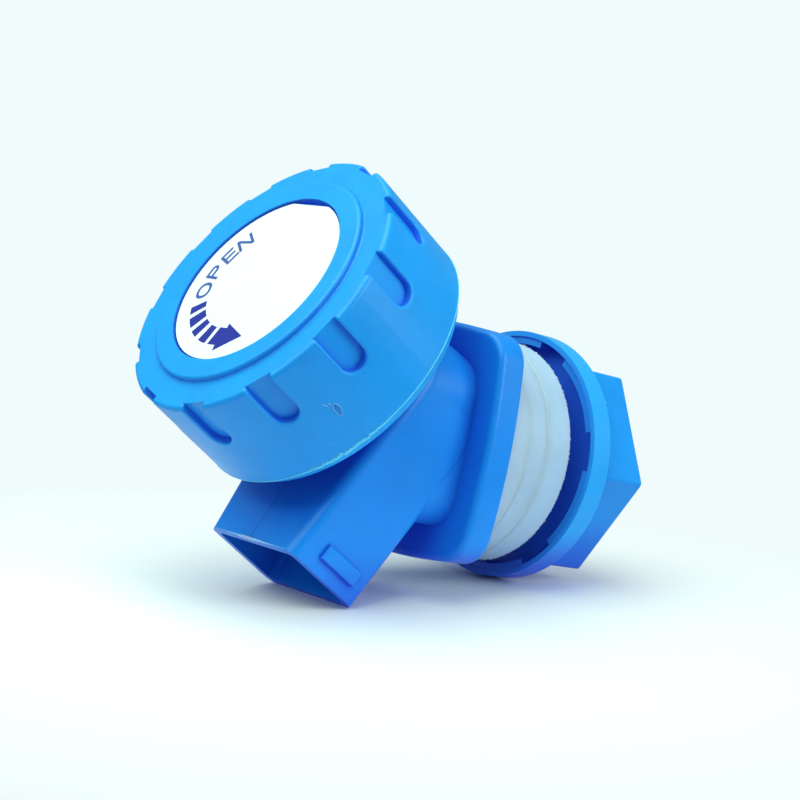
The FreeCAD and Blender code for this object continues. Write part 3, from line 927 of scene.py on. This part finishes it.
def spout_parting_line(material):
    """The thin line down the middle of the spout's front face, painted a dark blue for the shade along
    it.
    """
    samples = []
    across = valve_direction(1, 0, 0)
    out = valve_direction(0, 0, 1)
    for step in range(SPOUT_LINE_STEPS + 1):
        y = part_way((SPOUT_LINE_TOP, SPOUT_LINE_BOTTOM), step / SPOUT_LINE_STEPS)
        wander = SPOUT_LINE_WANDER * waver(y, scale=0.9, seeds=(5.5, 2.5))
        rough = max(0.0, waver(y, scale=2.2, seeds=(1.5, 8.5)))
        height = SPOUT_LINE_RISE + SPOUT_LINE_ROUGH * rough
        samples.append((on_valve(wander, y, BODY_FRONT), across, out, SPOUT_LINE_HALF, height))
    ridge("spout_parting_line", samples, False, material, "tap")


WASHER_BURR_STEPS = 1200
WASHER_BURR_SINK = 0.10
WASHER_BURR_SET_BACK = 0.12
WASHER_BURR_HALF = 0.12
WASHER_BURR_RISE = 0.08
WASHER_BURR_FINE_RISE = 0.34
WASHER_BURR_HIGHEST = 0.40
WASHER_BURR_WANDER = 0.05
WASHER_BURR_SLOPE = 0.45
SLIVER_START = 0.30
SLIVER_RISE = 2.4


def washer_burr(material):
    """The ragged edge of the outer washer, with a few slivers that stand up."""
    samples = []
    axis = Vector((0.0, 1.0, 0.0))
    for step in range(WASHER_BURR_STEPS):
        degrees = 360.0 * step / WASHER_BURR_STEPS
        fine = jitter(degrees, scale=60.0, seed=9.1)
        sliver = max(0.0, jitter(degrees, scale=23.0, seed=2.6) - SLIVER_START)
        ragged = WASHER_BURR_FINE_RISE * max(0.0, fine) + SLIVER_RISE * sliver * abs(fine)
        height = min(WASHER_BURR_HIGHEST, WASHER_BURR_RISE + ragged)
        edge_y = OUTER_WASHER_END - WASHER_BURR_SET_BACK + WASHER_BURR_WANDER * fine
        foot = round_shank(WASHER_RADIUS - WASHER_BURR_SINK, degrees, edge_y)
        out = (out_of_shank(degrees) + axis * WASHER_BURR_SLOPE).normalized()
        samples.append((foot, axis, out, WASHER_BURR_HALF, height))
    ridge("washer_burr", samples, True, material, "tap")


SEAM_STEPS = 360
SEAM_SINK = 0.27
SEAM_HALF = 0.75
SEAM_RISE = 0.30
SEAM_ROUGH = 0.02


def washer_seams(material):
    """The thin line of silicone that fills the groove between two washers."""
    axis = Vector((0.0, 1.0, 0.0))
    for number, y in enumerate(WASHER_JOINTS):
        samples = []
        for step in range(SEAM_STEPS):
            degrees = 360.0 * step / SEAM_STEPS
            rise = SEAM_RISE + SEAM_ROUGH * jitter(degrees, scale=6.0, seed=5.0 + number)
            foot = round_shank(WASHER_RADIUS - SEAM_SINK, degrees, y)
            samples.append((foot, axis, out_of_shank(degrees), SEAM_HALF, rise))
        ridge("washer_seam_%d" % (number + 1), samples, True, material, "tap")


NUT_LINE_STEPS = 46
NUT_LINE_DEGREES = 32.3
NUT_LINE_START = NUT_FRONT + 0.05
NUT_LINE_LENGTH = NUT_FLANGE_BACK - NUT_FRONT - 0.35
NUT_LINE_HALF = (0.06, 0.22)
NUT_LINE_RISE = (0.012, 0.212)
NUT_NIB_SHARE = 0.05


def nut_parting_line(material):
    """A parting line across the nut's flange with a nib at each end, in the lighter trim blue that
    paints a highlight on them.
    """
    samples = []
    out = out_of_shank(NUT_LINE_DEGREES)
    side = out_of_shank(NUT_LINE_DEGREES + 90.0)
    for step in range(NUT_LINE_STEPS + 1):
        share = step / NUT_LINE_STEPS
        nib = peak(share, NUT_NIB_SHARE) + peak(1 - share, NUT_NIB_SHARE)
        y = NUT_LINE_START + NUT_LINE_LENGTH * share
        foot = round_shank(NUT_FLANGE_RADIUS, NUT_LINE_DEGREES, y)
        samples.append((foot, side, out, part_way(NUT_LINE_HALF, nib), part_way(NUT_LINE_RISE, nib)))
    ridge("nut_parting_line", samples, False, material, "nut")


# The smooth shoulder between the valve body and the neck

BLEND_STEPS = 12
BLEND_SINK = 0.03
BLEND_BODY_SIDE = -1.0
BLEND_CRISP = math.radians(35.0)
# Points down the neck's sides, as (drop below its rounded corner, distance inside its side)
NECK_SIDE_POINTS = ((3.0, 0.15), (7.0, 0.45), (12.0, 0.95))


def neck_blend(material):
    """The hull of the neck's outline at the flange and the valve body's outline at its shoulder."""
    neck_x = NECK_HALF - NECK_ROUND
    neck_z = NECK_TOP - NECK_ROUND
    body_x = BODY_HALF - BODY_ROUND
    body_y = BODY_TOP - BODY_ROUND
    body_round = BODY_ROUND - BLEND_SINK
    points = []
    for mirror in (1, -1):
        for step in range(BLEND_STEPS + 1):
            angle = math.pi / 2 * step / BLEND_STEPS
            c, s = math.cos(angle), math.sin(angle)
            neck_side = mirror * (neck_x + NECK_ROUND * c)
            body_side = mirror * (body_x + body_round * c)
            points.append(mm((neck_side, NECK_FLANGE_Y, neck_z + NECK_ROUND * s)))
            points.append(on_valve(body_side, body_y + body_round * s, BODY_SHOULDER))
        for drop, inward in NECK_SIDE_POINTS:
            points.append(mm((mirror * (NECK_HALF - inward), NECK_FLANGE_Y, neck_z - drop)))
        points.append(on_valve(mirror * (BODY_HALF - BLEND_SINK), BLEND_BODY_SIDE, BODY_SHOULDER))
    work = bmesh.new()
    for point in points:
        work.verts.new(point)
    bmesh.ops.convex_hull(work, input=work.verts)
    loose = [vert for vert in work.verts if not vert.link_faces]
    bmesh.ops.delete(work, geom=loose, context="VERTS")
    bmesh.ops.recalc_face_normals(work, faces=work.faces)
    for face in work.faces:
        face.smooth = True
    for edge in work.edges:
        if edge.is_manifold and edge.calc_face_angle() > BLEND_CRISP:
            edge.smooth = False
    mesh = bpy.data.meshes.new("neck_blend")
    work.to_mesh(mesh)
    work.free()
    piece = bpy.data.objects.new("neck_blend", mesh)
    bpy.context.scene.collection.objects.link(piece)
    dress(piece, material, "tap")


neck_blend(MATERIALS["tap_body"])
# Painted highlights: the lighter trim blue stands in for light catching and shining through thin flash,
# lips and nibs, and on scratches and scuffs it is their whitened wear; the torn blue is whitened torn
# plastic with a painted highlight
trim_wear_and_highlight = blue_plastic("blue_plastic_wear_and_highlight", TRIM_WEAR_AND_HIGHLIGHT_BLUE, rough_low=0.40, rough_high=0.55)
torn_edge_and_highlight = blue_plastic("blue_plastic_torn_and_highlight", TORN_AND_HIGHLIGHT_BLUE, rough_low=0.45, rough_high=0.60)
knob_scar(trim_wear_and_highlight)
scar_bed(blue_plastic("blue_plastic_scar_shade", SCAR_SHADE_BLUE))
knob_scratches(trim_wear_and_highlight)
knob_scuffs(trim_wear_and_highlight)
washer_seams(milky_silicone("milky_silicone_seam", SEAM_SILICONE, depth=0.0))
knob_flash(trim_wear_and_highlight)
mouth_burr(torn_edge_and_highlight)
spout_parting_line(blue_plastic("blue_plastic_line_shade", LINE_SHADE_BLUE))
nut_parting_line(trim_wear_and_highlight)
washer_burr(MATERIALS["outer_washer"])


# Camera, at the photograph's viewing angle

IMAGE_SIZE = 800.0
FOCAL_PIXELS = 1677.9
SENSOR = 36.0
CAMERA_PLACE = Vector((224.922, -202.543, 1.338))
CAMERA_RIGHT = Vector((0.6421, 0.74147, 0.19477))
CAMERA_DOWN = Vector((0.11631, 0.15689, -0.98074))
CAMERA_FORWARD = Vector((-0.75775, 0.65239, 0.0145))


def make_camera():
    data = bpy.data.cameras.new("camera")
    data.sensor_width = SENSOR
    data.lens = FOCAL_PIXELS / IMAGE_SIZE * SENSOR
    data.clip_start = 0.01
    data.clip_end = 50.0
    holder = bpy.data.objects.new("camera", data)
    bpy.context.scene.collection.objects.link(holder)
    turn = Matrix((CAMERA_RIGHT, -CAMERA_DOWN, -CAMERA_FORWARD)).transposed().to_4x4()
    turn.translation = mm(CAMERA_PLACE)
    holder.matrix_world = turn
    bpy.context.scene.camera = holder


make_camera()


# Floor, world and lamps

# The tap lies on the back edge of the spout's mouth and on the nut's rim
FLOOR_UP = Vector((0.0, -0.1693, 0.9856)).normalized()
FLOOR_DEPTH = 26.64
FLOOR_HALF = 900.0
FLOOR_CENTRE = Vector((0.0, -18.0, 0.0))
FLOOR_SHADE_END = 36.0
FLOOR_FADE_END = 120.0
FLOOR_COLOUR = (0.87, 0.90, 0.97)
BACKDROP_COLOUR = (0.87, 0.965, 0.975)
SKY_COLOUR = (0.58, 0.78, 1.0)
SKY_STRENGTH = 0.36


def floor_material():
    """Pale floor that fades into the background away from the tap, and is clear from below."""
    material, tree, shader = new_material("pale_floor")
    places = add(tree, "ShaderNodeTexCoord").outputs["Object"]
    paper = noise_at(tree, places, scale=40.0)
    shades = [(0.3, tinted(FLOOR_COLOUR, 0.985)), (0.7, FLOOR_COLOUR)]
    tree.links.new(ramp(tree, paper, shades), shader.inputs["Base Color"])
    shader.inputs["Roughness"].default_value = 0.42
    shader.inputs["Specular IOR Level"].default_value = 0.3
    distance = add(tree, "ShaderNodeVectorMath", operation="LENGTH")
    tree.links.new(places, distance.inputs[0])
    fade = spread(tree, distance.outputs["Value"], 0.0, 1.0, FLOOR_SHADE_END * MM, FLOOR_FADE_END * MM)
    backside = add(tree, "ShaderNodeNewGeometry").outputs["Backfacing"]
    either = add(tree, "ShaderNodeMath", operation="MAXIMUM")
    tree.links.new(fade, either.inputs[0])
    tree.links.new(backside, either.inputs[1])
    clear = add(tree, "ShaderNodeBsdfTransparent")
    mix = add(tree, "ShaderNodeMixShader")
    tree.links.new(either.outputs[0], mix.inputs["Fac"])
    tree.links.new(shader.outputs[0], mix.inputs[1])
    tree.links.new(clear.outputs[0], mix.inputs[2])
    output = next(node for node in tree.nodes if node.type == "OUTPUT_MATERIAL")
    tree.links.new(mix.outputs[0], output.inputs["Surface"])
    return material


def make_floor():
    half = FLOOR_HALF * MM
    corners = [(-half, -half, 0), (half, -half, 0), (half, half, 0), (-half, half, 0)]
    floor = new_object("floor", corners, [(0, 1, 2, 3)])
    floor.data.materials.append(floor_material())
    turn = FLOOR_UP.to_track_quat("Z", "Y").to_matrix().to_4x4()
    turn.translation = mm(FLOOR_CENTRE - FLOOR_UP * (FLOOR_DEPTH + FLOOR_CENTRE.dot(FLOOR_UP)))
    floor.matrix_world = turn


def make_world():
    """Bluish light from all round, with a pale backdrop that only the camera sees."""
    world = bpy.data.worlds.new("studio")
    bpy.context.scene.world = world
    world.use_nodes = True
    tree = world.node_tree
    light = tree.nodes["Background"]
    light.inputs["Color"].default_value = (*SKY_COLOUR, 1.0)
    light.inputs["Strength"].default_value = SKY_STRENGTH
    backdrop = add(tree, "ShaderNodeBackground")
    backdrop.inputs["Color"].default_value = (*BACKDROP_COLOUR, 1.0)
    path = add(tree, "ShaderNodeLightPath")
    mix = add(tree, "ShaderNodeMixShader")
    tree.links.new(path.outputs["Is Camera Ray"], mix.inputs["Fac"])
    tree.links.new(light.outputs[0], mix.inputs[1])
    tree.links.new(backdrop.outputs[0], mix.inputs[2])
    output = next(node for node in tree.nodes if node.type == "OUTPUT_WORLD")
    tree.links.new(mix.outputs[0], output.inputs["Surface"])


def add_lamp(name, place, size, watts, colour):
    """A soft square lamp; place is in the floor's axes about the tap, in millimetres."""
    data = bpy.data.lights.new(name, "AREA")
    data.size = size * MM
    data.energy = watts
    data.color = colour
    lamp = bpy.data.objects.new(name, data)
    bpy.context.scene.collection.objects.link(lamp)
    right = CAMERA_RIGHT - FLOOR_UP * CAMERA_RIGHT.dot(FLOOR_UP)
    right.normalize()
    away = FLOOR_UP.cross(right)
    spot = (right * place[0] + away * place[1] + FLOOR_UP * place[2]) * MM
    lamp.location = spot
    lamp.rotation_euler = (-spot).to_track_quat("-Z", "Y").to_euler()


make_floor()
make_world()
add_lamp("top_lamp", (-185.0, -125.0, 460.0), size=700.0, watts=5.4, colour=(0.89, 1.0, 0.75))
add_lamp("right_lamp", (490.0, -240.0, 190.0), size=340.0, watts=2.15, colour=(0.90, 1.0, 0.84))

bpy.context.scene.view_settings.view_transform = "Standard"
